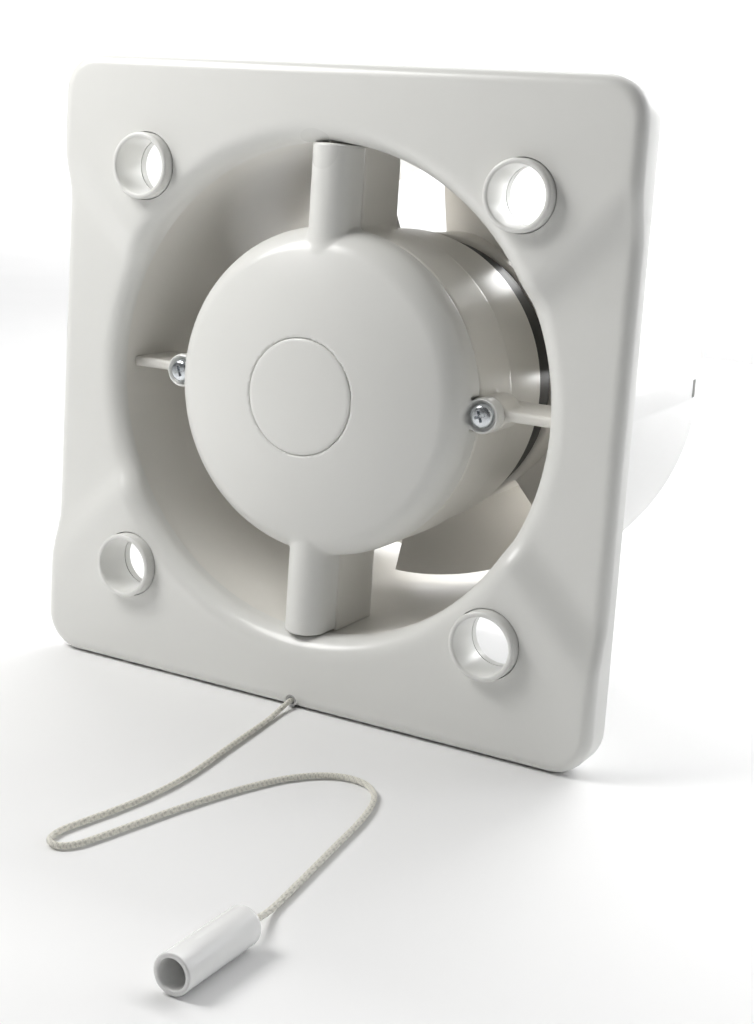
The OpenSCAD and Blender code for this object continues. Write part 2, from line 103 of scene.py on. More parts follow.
def make_camera():
    """The photographed view: from the right, a little above, and rolled."""
    azimuth, elevation, roll = math.radians(28.89), math.radians(9.46), math.radians(3.75)
    distance = 397.2 * MM
    aside, above = 8.97 * MM, -4.76 * MM
    back = Vector((math.sin(azimuth) * math.cos(elevation),
                   -math.cos(azimuth) * math.cos(elevation),
                   math.sin(elevation)))
    right = (-back).cross(Vector((0, 0, 1))).normalized()
    up = right.cross(-back)
    place = back * distance + right * aside + up * above
    turned_right = math.cos(roll) * right + math.sin(roll) * up
    turned_up = math.cos(roll) * up - math.sin(roll) * right
    data = bpy.data.cameras.new("camera")
    data.lens = 57.34
    data.sensor_width = 36
    data.shift_x = 0.0124
    data.shift_y = -0.0966
    camera = bpy.data.objects.new("camera", data)
    bpy.context.scene.collection.objects.link(camera)
    camera.matrix_world = Matrix((
        (turned_right.x, turned_up.x, back.x, place.x),
        (turned_right.y, turned_up.y, back.y, place.y),
        (turned_right.z, turned_up.z, back.z, place.z),
        (0, 0, 0, 1)))
    bpy.context.scene.camera = camera


# ---------- mesh helpers ----------

MEETING = 0.002                # points this close are one
STRAIGHT = 0.02                # a corner that turns by less, in radians, isn't rounded
BOX_FACES = [(0, 1, 3, 2), (4, 6, 7, 5), (0, 4, 5, 1), (2, 3, 7, 6), (0, 2, 6, 4), (1, 5, 7, 3)]


def shade(obj, angle=35):
    """Smooth faces, with sharp edges where the surface turns by more than the angle."""
    mesh = bmesh.new()
    mesh.from_mesh(obj.data)
    limit = math.radians(angle)
    for face in mesh.faces:
        face.smooth = True
    for edge in mesh.edges:
        edge.smooth = len(edge.link_faces) == 2 and edge.calc_face_angle(0) < limit
    mesh.to_mesh(obj.data)
    mesh.free()
    return obj


def link(name, data):
    obj = bpy.data.objects.new(name, data)
    bpy.context.scene.collection.objects.link(obj)
    return obj


def from_points(name, points, faces, angle=35):
    """An object from points in millimetres, with points that meet made one."""
    data = bpy.data.meshes.new(name)
    data.from_pydata([Vector(p) * MM for p in points], [], faces)
    data.validate()
    obj = link(name, data)
    mesh = bmesh.new()
    mesh.from_mesh(data)
    bmesh.ops.remove_doubles(mesh, verts=mesh.verts, dist=MEETING * MM)
    bmesh.ops.recalc_face_normals(mesh, faces=mesh.faces)
    mesh.to_mesh(data)
    mesh.free()
    return shade(obj, angle)


def rounded(corners, steps=5):
    """A closed outline of (across, along, radius) corners, with each turned into an arc."""
    out = []
    count = len(corners)
    for i, (across, along, r) in enumerate(corners):
        here = Vector((across, along))
        before = Vector(corners[i - 1][:2]) - here
        after = Vector(corners[(i + 1) % count][:2]) - here
        bend = before.angle(after)
        if r <= 0 or abs(bend - math.pi) < STRAIGHT:
            out.append(here)
            continue
        reach = min(r / math.tan(bend / 2), 0.49 * before.length, 0.49 * after.length)
        r = reach * math.tan(bend / 2)
        before.normalize()
        after.normalize()
        centre = here + (before + after).normalized() * (r / math.sin(bend / 2))
        start = here + before * reach - centre
        end = here + after * reach - centre
        sweep = start.angle_signed(end)
        for k in range(steps + 1):
            a = -sweep * k / steps
            out.append(centre + Vector((start.x * math.cos(a) - start.y * math.sin(a),
                                        start.x * math.sin(a) + start.y * math.cos(a))))
    return out


def closed_grid(count, rows):
    """Faces of a grid that closes both ways round: count slices of rows points each."""
    faces = []
    for i in range(count):
        for k in range(rows):
            a, b = i * rows + k, i * rows + (k + 1) % rows
            c, d = (i + 1) % count * rows + k, (i + 1) % count * rows + (k + 1) % rows
            faces.append((a, b, d, c))
    return faces


def ring_mesh(outline, count, centre=(0, 0, 0)):
    """Points and faces of a closed outline of (radius, y) turned about an axis along Y."""
    points = []
    for i in range(count):
        a = 2 * math.pi * i / count
        for r, y in outline:
            points.append((centre[0] + r * math.cos(a), centre[1] + y, centre[2] + r * math.sin(a)))
    return points, closed_grid(count, len(outline))


def add_part(points, faces, more_points, more_faces):
    """Adds another part's points and faces to the lists of a mesh."""
    faces += [tuple(v + len(points) for v in face) for face in more_faces]
    points += more_points


def turned(name, outline, count=128, centres=((0, 0, 0),), angle=35):
    """One object with the outline turned about Y at each centre."""
    points, faces = [], []
    for centre in centres:
        add_part(points, faces, *ring_mesh(outline, count, centre))
    return from_points(name, points, faces, angle)


def corners_at(d):
    return [(sx * d, 0, sz * d) for sx in (-1, 1) for sz in (-1, 1)]


def rod(r, y0, y1, x=0, z=0, count=64):
    """A solid cylinder along Y, as a cutter."""
    return turned("cutter", [(0, y0), (r, y0), (r, y1), (0, y1)], count, [(x, 0, z)])


def block(low, high):
    """A solid box, as a cutter."""
    points = [(x, y, z)
              for x in (low[0], high[0]) for y in (low[1], high[1]) for z in (low[2], high[2])]
    return from_points("cutter", points, BOX_FACES)


def cut(obj, cutters, angle=35):
    """Takes the cutters away from obj, and removes them."""
    for cutter in cutters:
        modifier = obj.modifiers.new("cut", "BOOLEAN")
        modifier.operation = "DIFFERENCE"
        modifier.solver = "EXACT"
        modifier.object = cutter
    bpy.context.view_layer.update()
    evaluated = obj.evaluated_get(bpy.context.evaluated_depsgraph_get())
    data = bpy.data.meshes.new_from_object(evaluated)
    obj.modifiers.clear()
    obj.data = data
    for cutter in cutters:
        bpy.data.objects.remove(cutter)
    return shade(obj, angle)


# ---------- solids from distance fields, for mouldings with soft corners ----------

def length(a, b):
    return np.sqrt(a * a + b * b)


def join(a, b, r):
    """The union of two distances, with a fillet of radius r."""
    return np.maximum(np.minimum(a, b), r) - length(np.maximum(r - a, 0), np.maximum(r - b, 0))


def meet(a, b, r):
    """What two distances have in common, with a rounded edge of radius r."""
    return -join(-a, -b, r)


def field_mesh(name, distance, low, high, step):
    """The surface where a distance function of x, y, z in millimetres is zero."""
    axes = [np.arange(lo, hi + step, step) for lo, hi in zip(low, high)]
    grid = np.meshgrid(*axes, indexing="ij")
    far = 4 * step                 # distances past this all count the same
    values = np.clip(distance(*grid), -far, far).astype(np.float32)
    volume = openvdb.FloatGrid(far)
    volume.copyFromArray(values)
    points, quads = volume.convertToQuads(0.0)
    points = points * step + np.array(low)
    data = bpy.data.meshes.new(name)
    data.from_pydata((points * MM).tolist(), [], quads.tolist())
    data.validate()
    obj = link(name, data)
    mesh = bmesh.new()
    mesh.from_mesh(data)
    bmesh.ops.recalc_face_normals(mesh, faces=mesh.faces)
    for face in mesh.faces:
        face.smooth = True
    mesh.to_mesh(data)
    mesh.free()
    return obj


# ---------- materials, with lengths in metres and noise scales in cycles a metre ----------

FINE_GRAIN = 2600              # the texture of moulded plastic
FINE_DEPTH = 0.00004
BOUNCE_TINT_EDGE = (0.6, 1.8)         # where in the duct's wall, in millimetres, the painted warm bounce light ends


class Nodes:
    """A small builder of one material's node tree."""

    def __init__(self, name):
        self.material = bpy.data.materials.new(name)
        self.material.use_nodes = True
        self.tree = self.material.node_tree
        self.tree.nodes.clear()
        self.shader = self.add("ShaderNodeBsdfPrincipled")
        out = self.add("ShaderNodeOutputMaterial")
        self.link(self.shader.outputs["BSDF"], out.inputs["Surface"])
        self.place = self.add("ShaderNodeTexCoord").outputs["Object"]

    def add(self, kind, **settings):
        node = self.tree.nodes.new(kind)
        for key, value in settings.items():
            setattr(node, key, value)
        return node

    def link(self, a, b):
        self.tree.links.new(a, b)

    def noise(self, scale, detail=3.0, rough=0.5, stretch=(1, 1, 1)):
        mapping = self.add("ShaderNodeMapping")
        mapping.inputs["Scale"].default_value = stretch
        self.link(self.place, mapping.inputs["Vector"])
        node = self.add("ShaderNodeTexNoise")
        node.inputs["Scale"].default_value = scale
        node.inputs["Detail"].default_value = detail
        node.inputs["Roughness"].default_value = rough
        self.link(mapping.outputs["Vector"], node.inputs["Vector"])
        return node.outputs["Fac"]

    def ramp(self, value, low, high, start=0.3, end=0.7):
        """A colour that goes from low to high as the value goes from start to end."""
        node = self.add("ShaderNodeValToRGB")
        node.color_ramp.elements[0].position = start
        node.color_ramp.elements[1].position = end
        node.color_ramp.elements[0].color = (*low, 1)
        node.color_ramp.elements[1].color = (*high, 1)
        self.link(value, node.inputs["Fac"])
        return node.outputs["Color"]

    def span(self, value, low, high):
        """A value from 0 to 1, spread between low and high."""
        node = self.add("ShaderNodeMapRange")
        node.inputs["To Min"].default_value = low
        node.inputs["To Max"].default_value = high
        self.link(value, node.inputs["Value"])
        return node.outputs["Result"]

    def bump(self, value, strength, depth, under=None):
        node = self.add("ShaderNodeBump")
        node.inputs["Strength"].default_value = strength
        node.inputs["Distance"].default_value = depth
        self.link(value, node.inputs["Height"])
        if under is not None:
            self.link(under, node.inputs["Normal"])
        return node.outputs["Normal"]

    def set(self, name, value):
        self.shader.inputs[name].default_value = value

    def feed(self, name, output):
        self.link(output, self.shader.inputs[name])


def tint(colour, factor):
    return tuple(min(1.0, c * factor) for c in colour)


def plastic(name, colour, rough=0.3, grain=0.5, specular=0.5, coat=0.0):
    """Moulded plastic: faint flow marks in its colour and gloss, and a fine texture."""
    n = Nodes(name)
    flow = n.noise(14, 2.0, 0.5, (1, 1, 0.4))
    n.feed("Base Color", n.ramp(flow, tint(colour, 0.992), tint(colour, 1.004), 0.0, 1.0))
    n.feed("Roughness", n.span(n.noise(24, 1.0, 0.4), rough * 0.95, rough * 1.05))
    n.feed("Normal", n.bump(n.noise(FINE_GRAIN, 2.0, 0.6), 0.06 * grain, FINE_DEPTH))
    n.set("Specular IOR Level", specular)
    n.set("Coat Weight", coat)
    n.set("Coat Roughness", 0.12)
    return n.material


def duct_painted_bounce(name, outside, inside, rough):
    """The duct's plastic: its own colour outside, and inside a painted warm bounce light, warmer
    and a little darker, with blotchy tone.
    """
    n = Nodes(name)
    parts = n.add("ShaderNodeSeparateXYZ")
    n.link(n.place, parts.inputs[0])
    across = n.add("ShaderNodeCombineXYZ")
    n.link(parts.outputs["X"], across.inputs["X"])
    n.link(parts.outputs["Z"], across.inputs["Y"])
    radius = n.add("ShaderNodeVectorMath", operation="LENGTH")
    n.link(across.outputs[0], radius.inputs[0])
    side = n.add("ShaderNodeMapRange")     # 0 inside the wall, 1 outside
    side.inputs["From Min"].default_value = (TUBE_R + BOUNCE_TINT_EDGE[0]) * MM
    side.inputs["From Max"].default_value = (TUBE_R + BOUNCE_TINT_EDGE[1]) * MM
    n.link(radius.outputs["Value"], side.inputs["Value"])
    mix = n.add("ShaderNodeMix", data_type="RGBA")
    n.link(side.outputs["Result"], mix.inputs["Factor"])
    # painted warm bounce light: the inside of the wall warmer and a little darker, with blotchy
    # tone
    bounce_tint = n.ramp(n.noise(22, 4.0, 0.6), tint(inside, 0.94), tint(inside, 1.04), 0.2, 0.8)
    n.link(bounce_tint, mix.inputs["A"])
    mix.inputs["B"].default_value = (*outside, 1)
    n.feed("Base Color", mix.outputs["Result"])
    n.feed("Roughness", n.span(n.noise(55, 4.0, 0.6), rough * 0.85, rough * 1.3))
    fine = n.bump(n.noise(FINE_GRAIN, 2.0, 0.6), 0.04, FINE_DEPTH)
    n.feed("Normal", n.bump(n.noise(30, 1.5, 0.4), 0.08, 0.0004, fine))
    return n.material


def metal(name, colour, rough=0.3, brushed=(1, 1, 1), dark=0.75):
    """Metal: slight tarnish, fine scratches and uneven gloss."""
    n = Nodes(name)
    stain = n.noise(420, 5.0, 0.6)
    n.feed("Base Color", n.ramp(stain, tint(colour, dark), colour, 0.25, 0.6))
    n.feed("Roughness", n.span(n.noise(900, 4.0, 0.65), rough * 0.6, rough * 1.5))
    n.feed("Normal", n.bump(n.noise(1500, 3.0, 0.6, brushed), 0.25, 0.00003))
    n.set("Metallic", 1.0)
    return n.material


def windings(name, colour):
    """Enamelled wire, turn beside turn."""
    n = Nodes(name)
    wave = n.add("ShaderNodeTexWave", wave_type="BANDS", bands_direction="X")
    wave.inputs["Scale"].default_value = 620
    wave.inputs["Distortion"].default_value = 0.6
    n.link(n.place, wave.inputs["Vector"])
    # darker in the grooves between turns: painted shade
    n.feed("Base Color", n.ramp(wave.outputs["Fac"], tint(colour, 0.35), colour, 0.1, 0.7))
    n.feed("Normal", n.bump(wave.outputs["Fac"], 0.6, 0.0002))
    n.set("Roughness", 0.32)
    n.set("Metallic", 0.6)
    return n.material


def laminations(name, colour):
    """A stack of steel sheets under varnish."""
    n = Nodes(name)
    wave = n.add("ShaderNodeTexWave", wave_type="BANDS", bands_direction="Y")
    wave.inputs["Scale"].default_value = 320
    wave.inputs["Distortion"].default_value = 0.15
    n.link(n.place, wave.inputs["Vector"])
    n.feed("Base Color", n.ramp(wave.outputs["Fac"], tint(colour, 0.5), colour, 0.15, 0.6))
    n.feed("Normal", n.bump(wave.outputs["Fac"], 0.4, 0.0001))
    n.set("Roughness", 0.42)
    n.set("Metallic", 0.7)
    return n.material


def braid(name, colour):
    """Braided cord: crossing strands in relief, with painted shade where they sink."""
    n = Nodes(name)
    strands = []
    for direction, scale in (("DIAGONAL", 430), ("X", 700), ("Y", 610)):
        wave = n.add("ShaderNodeTexWave", wave_type="BANDS", bands_direction=direction)
        wave.inputs["Scale"].default_value = scale
        wave.inputs["Distortion"].default_value = 1.5
        n.link(n.place, wave.inputs["Vector"])
        strands.append(wave.outputs["Fac"])
    mixed = n.add("ShaderNodeMath", operation="MAXIMUM")
    n.link(strands[0], mixed.inputs[0])
    n.link(strands[1], mixed.inputs[1])
    both = n.add("ShaderNodeMath", operation="MULTIPLY")
    n.link(mixed.outputs[0], both.inputs[0])
    n.link(n.span(strands[2], 0.6, 1.0), both.inputs[1])
    # darker where the strands sink: painted shade in the weave's hollows
    n.feed("Base Color", n.ramp(both.outputs[0], tint(colour, 0.74), colour, 0.1, 0.7))
    n.feed("Normal", n.bump(both.outputs[0], 0.8, 0.00018))
    n.set("Roughness", 0.85)
    n.set("Sheen Weight", 0.3)
    n.set("Sheen Roughness", 0.5)
    return n.material


def make_materials():
    return {
        "white_plastic": plastic("white_plastic", (0.78, 0.78, 0.755), 0.28, 0.5, 0.5, 0.1),
        "duct_plastic": duct_painted_bounce("duct_plastic", (0.80, 0.80, 0.79), (0.79, 0.775, 0.735), 0.3),
        # inner_plastic and blade_plastic are the white plastic made warmer: painted warm bounce
        # light inside the duct
        "inner_plastic": plastic("inner_plastic", (0.80, 0.785, 0.74), 0.36, 0.8),
        "bell_plastic": plastic("bell_plastic", (0.86, 0.86, 0.85), 0.22, 0.4, 0.5, 0.25),
        "blade_plastic": plastic("blade_plastic", (0.80, 0.78, 0.74), 0.38, 0.9),
        "black_plastic": plastic("black_plastic", (0.012, 0.012, 0.013), 0.45, 1.0),
        "nylon": plastic("nylon", (0.78, 0.75, 0.66), 0.42, 0.9),
        "grey_plastic": plastic("grey_plastic", (0.5, 0.5, 0.5), 0.4, 0.9),
        "red_wire": plastic("red_wire", (0.42, 0.03, 0.02), 0.35, 0.6),
        "blue_wire": plastic("blue_wire", (0.03, 0.08, 0.38), 0.35, 0.6),
        "zinc_screw": metal("zinc_screw", (0.74, 0.77, 0.8), 0.24),
        "spring_steel": metal("spring_steel", (0.6, 0.6, 0.61), 0.22, (1, 0.05, 1)),
        "cast_bracket": metal("cast_bracket", (0.66, 0.67, 0.68), 0.45),
        "bronze": metal("bronze", (0.5, 0.33, 0.16), 0.4),
        "brass_parts": metal("brass_parts", (0.78, 0.58, 0.25), 0.25),
        "copper_winding": windings("copper_winding", (0.62, 0.27, 0.11)),
        "lamination": laminations("lamination", (0.3, 0.31, 0.33)),
        "cord": braid("cord", (0.88, 0.86, 0.77)),
    }


def dress(obj, material):
    """Gives obj the one named material, in place of any it had."""
    obj.data.materials.clear()
    obj.data.materials.append(MATERIALS[material])
    return obj


def stand_for(obj, node, material, body="housing"):
    """Puts a finished piece in the place of a CAD node."""
    dress(obj, material)
    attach(obj, body)
    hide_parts(node)
    return obj


# ---------- cord and bell ----------

# The route of part.scad's pull_cord, in millimetres.
CORD_ROUTE = [
    (0, -2.6, GUIDE_Z), (0, -6, GUIDE_Z), (0, -10, GUIDE_Z), (0.4, -15, LIE_Z + 0.3),
    (1.4, -21, LIE_Z), (2.6, -30, LIE_Z), (4.2, -43, LIE_Z), (6, -56, LIE_Z),
    (6.8, -66, LIE_Z), (6.6, -76, LIE_Z), (5.4, -86, LIE_Z), (4, -94, LIE_Z),
    (3.2, -100, LIE_Z), (4.2, -104.4, LIE_Z), (7.2, -105.6, LIE_Z), (9.8, -102.6, LIE_Z),
    (11.4, -96, LIE_Z), (13, -88, LIE_Z), (15, -78, LIE_Z), (17.4, -68, LIE_Z),
    (20.4, -58.5, LIE_Z), (24, -50, LIE_Z), (28.6, -44, LIE_Z), (34, -41, LIE_Z),
    (39.6, -41.6, LIE_Z), (43.8, -45.4, LIE_Z), (46.6, -52, LIE_Z), (48.6, -61, LIE_Z),
    (50.2, -72, LIE_Z), (52, -84, LIE_Z), (53.6, -95, LIE_Z), (54.8, -103, LIE_Z + 0.2),
    (56, -109, LIE_Z + 1.4), (56.9, -114, FLOOR_Z + 3.5), (57, -119, FLOOR_Z + 3.7),
    (57, -126.4, FLOOR_Z + 3.7)]
BELL_R = 3.7
BELL_LEN = 22.0
BELL_BORE = 2.7
BELL_TOP = 8.0                 # length of the bell's solid shoulder
BELL_HOLE = 0.85               # the hole in it for the cord
BELL = Vector((57, -115, FLOOR_Z + BELL_R))
KNOT_AT = 13.0                 # how far the knot is inside the bell


def smooth_route(points, steps):
    """A smooth curve through the points."""
    pts = [Vector(p) for p in points]
    out = []
    for i in range(len(pts) - 1):
        a, b, c, d = pts[max(i - 1, 0)], pts[i], pts[i + 1], pts[min(i + 2, len(pts) - 1)]
        for k in range(steps):
            t = k / steps
            out.append(0.5 * (2 * b + (c - a) * t + (2 * a - 5 * b + 4 * c - d) * t * t
                              + (3 * b - a - 3 * c + d) * t ** 3))
    return out + [pts[-1]]


def curve_object(name, points, radius, resolution=4):
    data = bpy.data.curves.new(name, "CURVE")
    data.dimensions = "3D"
    data.bevel_depth = radius * MM
    data.bevel_resolution = resolution
    data.use_fill_caps = True
    spline = data.splines.new("POLY")
    spline.points.add(len(points) - 1)
    for point, place in zip(spline.points, points):
        point.co = (*(place * MM), 1)
    spline.use_smooth = True
    return link(name, data)


def make_bell():
    outline = rounded([
        (BELL_HOLE, 0, 0.2), (BELL_R, 0, 1.9), (BELL_R, -BELL_LEN, 0.35),
        (BELL_BORE, -BELL_LEN, 0.35), (BELL_BORE, -BELL_TOP, 0.6), (BELL_HOLE, -BELL_TOP, 0.2)], 6)
    bell = turned("bell", outline, 96, [BELL])
    return stand_for(bell, "pull_bell", "bell_plastic", "cord_set")


def make_knot():
    """The overhand knot that holds the bell: a tube wound as a small knot."""
    centre = BELL - Vector((0, KNOT_AT, 0))
    size, swing, thick, steps = 0.9, 0.5, 0.6, 72
    points = []
    for i in range(steps + 1):
        a = 2 * math.pi * i / steps
        r = size + swing * math.cos(3 * a)
        turn = Vector((r * math.cos(2 * a), size * math.sin(3 * a), r * math.sin(2 * a)))
        points.append(centre + turn)
    knot = curve_object("knot", points, thick)
    return stand_for(knot, "cord_knot", "cord", "cord_set")


def make_cord():
    route = smooth_route(CORD_ROUTE, 5)
    cord = curve_object("cord", route, CORD_D / 2)
    stand_for(cord, "pull_cord", "cord", "cord_set")
    bell = make_bell()
    knot = make_knot()


# ---------- front plate ----------

RECESS = 3.0           # how far the middle of each side is set back
RECESS_FROM = 27.0     # where the two edges of a recess would meet
RECESS_SOFT = 5.0      # half width of a recess's sloping edge
CORNER_R = 10.0
EDGE_R = 3.0
SKIRT = 2.2            # the rim's wall
FACE_T = 2.4           # the face's wall
LIP_R = 5.0
RING_R = INLET_R + 2.5
RIM_BEVEL = 0.3
LIP_LAND = 0.3         # the straight end of the inlet behind its lip
LIP_STEPS = 10
FACE_STEPS = 34
EDGE_STEPS = 7
GUIDE_HOLE_R = 1.6


def face_height(x, z):
    """The front face's distance from the wall plane."""
    def soft(s):
        return (1 + math.sin(math.pi / 2 * max(-1.0, min(1.0, s / RECESS_SOFT)))) / 2
    across = abs(x) - RECESS_FROM
    upper, lower = (across - z) / math.sqrt(2), (across + z) / math.sqrt(2)
    return PLATE_T - RECESS * min(soft(upper), soft(lower))


def square_outline(side_steps=44, corner_steps=10):
    """Points of the round-cornered square with their outward normals, once round."""
    out = []
    flat = HALF - CORNER_R
    for quarter in range(4):
        turn = math.pi / 2 * quarter
        ux, uz = math.cos(turn), math.sin(turn)
        for i in range(side_steps):
            t = -flat + 2 * flat * i / side_steps
            out.append((HALF * ux - t * uz, HALF * uz + t * ux, ux, uz))
        for i in range(corner_steps):
            a = turn + math.pi / 2 * i / corner_steps
            nx, nz = math.cos(a), math.sin(a)
            cx, cz = flat * (ux - uz), flat * (uz + ux)
            out.append((cx + CORNER_R * nx, cz + CORNER_R * nz, nx, nz))
    return out


def plate_section(px, pz, nx, nz):
    """One slice of the plate, out to the outline's point (px, pz) with its normal (nx, nz).

    It goes up the inlet, over its lip, across the face, over the edge and back inside.
    """
    away = math.hypot(px, pz)
    ux, uz = px / away, pz / away
    lip_x, lip_z = (INLET_R + LIP_R) * ux, (INLET_R + LIP_R) * uz
    lip_h = face_height(lip_x, lip_z)
    drop = min(LIP_R, lip_h + LIP_BACK - LIP_LAND)
    out = [(INLET_R * ux, LIP_BACK, INLET_R * uz)]
    for i in range(LIP_STEPS):
        a = math.pi / 2 * i / LIP_STEPS
        r = INLET_R + LIP_R * (1 - math.cos(a))
        out.append((r * ux, -lip_h + drop * (1 - math.sin(a)), r * uz))
    ex, ez = px - EDGE_R * nx, pz - EDGE_R * nz
    for i in range(FACE_STEPS + 1):
        t = i / FACE_STEPS
        x, z = lip_x + (ex - lip_x) * t, lip_z + (ez - lip_z) * t
        out.append((x, -face_height(x, z), z))
    edge_h = face_height(ex, ez)
    for i in range(1, EDGE_STEPS + 1):
        a = math.pi / 2 * i / EDGE_STEPS
        reach = EDGE_R * math.sin(a)
        out.append((ex + reach * nx, -edge_h + EDGE_R * (1 - math.cos(a)), ez + reach * nz))
    out.append((px, -RIM_BEVEL, pz))
    out.append((px - RIM_BEVEL * nx, 0, pz - RIM_BEVEL * nz))
    ix, iz = px - SKIRT * nx, pz - SKIRT * nz
    out.append((ix, 0, iz))
    out.append((ix, -edge_h + FACE_T, iz))
    for i in range(1, FACE_STEPS):
        t = i / FACE_STEPS
        x, z = ix + (RING_R * ux - ix) * t, iz + (RING_R * uz - iz) * t
        out.append((x, -face_height(x, z) + FACE_T, z))
    out.append((RING_R * ux, min(LIP_BACK - 0.2, -lip_h + FACE_T), RING_R * uz))
    out.append((RING_R * ux, LIP_BACK, RING_R * uz))
    return out


def make_plate():
    sections = [plate_section(*place) for place in square_outline()]
    points = [point for section in sections for point in section]
    faces = closed_grid(len(sections), len(sections[0]))
    plate = from_points("plate", points, faces, 40)
    front, back = -20, 5           # past the plate on both sides
    cutters = [rod(BUSH_R + 0.22, front, back, x, z) for x, _, z in corners_at(SOCKET)]
    cutters.append(rod(GUIDE_HOLE_R, front, -1, 0, GUIDE_Z, 32))
    # the leads' way through the inlet's ring above, and the inner cord's below
    cutters.append(block((-3, -5.6, INLET_R - 2), (3, 1, INLET_R + 5)))
    cutters.append(block((-1.5, -5.6, -INLET_R - 5), (1.5, 1, 2 - INLET_R)))
    cut(plate, cutters, 40)
    return stand_for(plate, "front_plate", "white_plastic")


def make_bushes():
    outline = rounded([
        (BUSH_R, LIP_BACK, 0.2), (BUSH_R, BUSH_FRONT, 0.75),
        (BUSH_BORE, BUSH_FRONT, 0.5), (BUSH_BORE, LIP_BACK, 0.2)], 6)
    bushes = turned("bushes", outline, 96, corners_at(SOCKET))
    return stand_for(bushes, "panel_bushes", "white_plastic")


# ---------- duct, bracket and dome ----------

LATCH_BACK = 5.0               # the latch slots' distance from the spigot's end
LATCH_HALF = Vector((0.8, 1.1, 2.5))
RIB_HALF = 1.25
BOSS_BORE = 1.5
FLOOR_HOLE_R = 6.0             # the shaft's way through the bracket's floor
EAR_T = 1.1
DOME_BORE = 1.6
NOTCH_AT, NOTCH_HALF, NOTCH_Y = 0.3, 0.28, -2.9    # the groove round each boss
SEAT_T = 0.8                   # depth of the cap's seat
CAP_T = 0.7


def make_tube():
    """The duct, with its collar's radius all along, and two latch slots near its end."""
    outline = rounded([
        (SPIGOT_R, FLANGE_FRONT, 0), (SPIGOT_R, SPIGOT_END, 0.8),
        (TUBE_R, SPIGOT_END, 0.8), (TUBE_R, FLANGE_FRONT, 0.3)])
    tube = turned("tube", outline, 192)
    cutters = []
    for side in (-1, 1):
        slot = Vector((side * SPIGOT_R, SPIGOT_END - LATCH_BACK, 0))
        cutters.append(block(slot - LATCH_HALF, slot + LATCH_HALF))
    cut(tube, cutters)
    return stand_for(tube, "duct_tube", "duct_plastic")


def bracket_distance(x, y, z):
    """The ring, struts, ribs and screw bosses that carry the motor."""
    from_axis = length(x, z)
    from_screw = length(np.abs(x) - SCREW_X, z)
    ring = from_axis - DOME_R
    struts = np.abs(x) - STRUT_HALF
    ribs = np.abs(z) - RIB_HALF
    bosses = meet(from_screw - BOSS_R, y - BOSS_BACK, 1.0)
    outer = join(join(join(ring, struts, 1.2), ribs, 1.0), bosses, 0.8)
    along = np.maximum(SEAM_Y - y, y - BRACKET_BACK)
    outer = meet(meet(outer, along, 0.4), from_axis - TUBE_R + 0.05, 0.1)
    inside = np.minimum(from_axis - DOME_R + WALL, np.abs(x) - STRUT_HALF + WALL)
    inside = np.maximum(inside, y - BRACKET_BACK + WALL)
    bores = np.maximum(from_screw - BOSS_BORE, y - BOSS_BACK + 1)
    holes = np.minimum(bores, from_axis - FLOOR_HOLE_R)
    return np.maximum(np.maximum(outer, -inside), -holes)


def make_bracket():
    half, step = 61, 0.55
    low, high = (-half, 0.6, -half), (half, 20.6, half)
    bracket = field_mesh("bracket", bracket_distance, low, high, step)
    return stand_for(bracket, "motor_bracket", "inner_plastic")


def dome_distance(x, y, z):
    """The dome with its wings, its screw ears in their pockets, and the seat for its cap."""
    from_axis = length(x, z)
    from_screw = length(np.abs(x) - SCREW_X, z)
    ball = np.sqrt(from_axis ** 2 + (y - BALL_Y) ** 2) - BALL_R
    dome = meet(ball, from_axis - DOME_R, DOME_EDGE)
    round_front = length(x, np.minimum(y - STRUT_Y, 0)) - STRUT_HALF
    wings = meet(round_front, from_axis - INLET_R + 0.2, 0.4)
    ears = meet(from_screw - BOSS_R, HEAD_SEAT - EAR_T - y, 0.35)
    inner = np.minimum(dome, round_front) + WALL
    notch = np.abs(from_screw - BOSS_R - NOTCH_AT) - NOTCH_HALF
    slots = np.maximum(notch, NOTCH_Y - y)
    outer = join(np.maximum(join(dome, wings, 0.7), -slots), ears, 0.1)
    outer = meet(outer, y - SEAM_Y + GAP, 0.35)
    pocket = np.maximum(from_screw - HEAD_ROOM, y - HEAD_SEAT)
    outer = meet(outer, -pocket, 0.3)
    seat = np.maximum(from_axis - CAP_R - 0.2, -(ball + SEAT_T))
    holes = np.minimum(from_screw - DOME_BORE, seat)
    return np.maximum(np.maximum(outer, -inner), -holes)


def make_dome():
    low, high, step = (-48, -16, -60.5), (48, 3, 60.5), 0.42
    dome = field_mesh("dome", dome_distance, low, high, step)
    return stand_for(dome, "dome_cover", "white_plastic")


def make_cap():
    """The round cap: the dome's own curve, with a small rounded edge."""
    def skin(r, depth):
        return BALL_Y - math.sqrt((BALL_R - depth) ** 2 - r * r)
    steps = 16
    crown = 0.985 * CAP_R          # where the rounded edge starts
    outline = [(crown * i / steps, skin(crown * i / steps, 0)) for i in range(steps + 1)]
    outline += [(CAP_R, skin(CAP_R, 0.15)), (CAP_R, skin(CAP_R, CAP_T)), (0, skin(0, CAP_T))]
    cap = turned("cap", outline, 128, angle=50)
    return stand_for(cap, "dome_cap", "white_plastic")


def make_cup():
    """The motor's cup: it narrows a little towards its back, where a lip turns in."""
    front, lip_front = BRACKET_BACK + GAP, CUP_BACK - WALL
    front_r, back_r, lip_r = DOME_R - 0.5, DOME_R - 1.1, DOME_R - 4
    outline = rounded([
        (front_r - 2.1, front, 0.2), (front_r, front, 0.4), (back_r, CUP_BACK, 0.8),
        (lip_r, CUP_BACK, 0.3), (lip_r, lip_front, 0.3), (back_r - WALL, lip_front, 0.3)])
    cup = turned("cup", outline, 160)
    return stand_for(cup, "motor_cup", "inner_plastic")


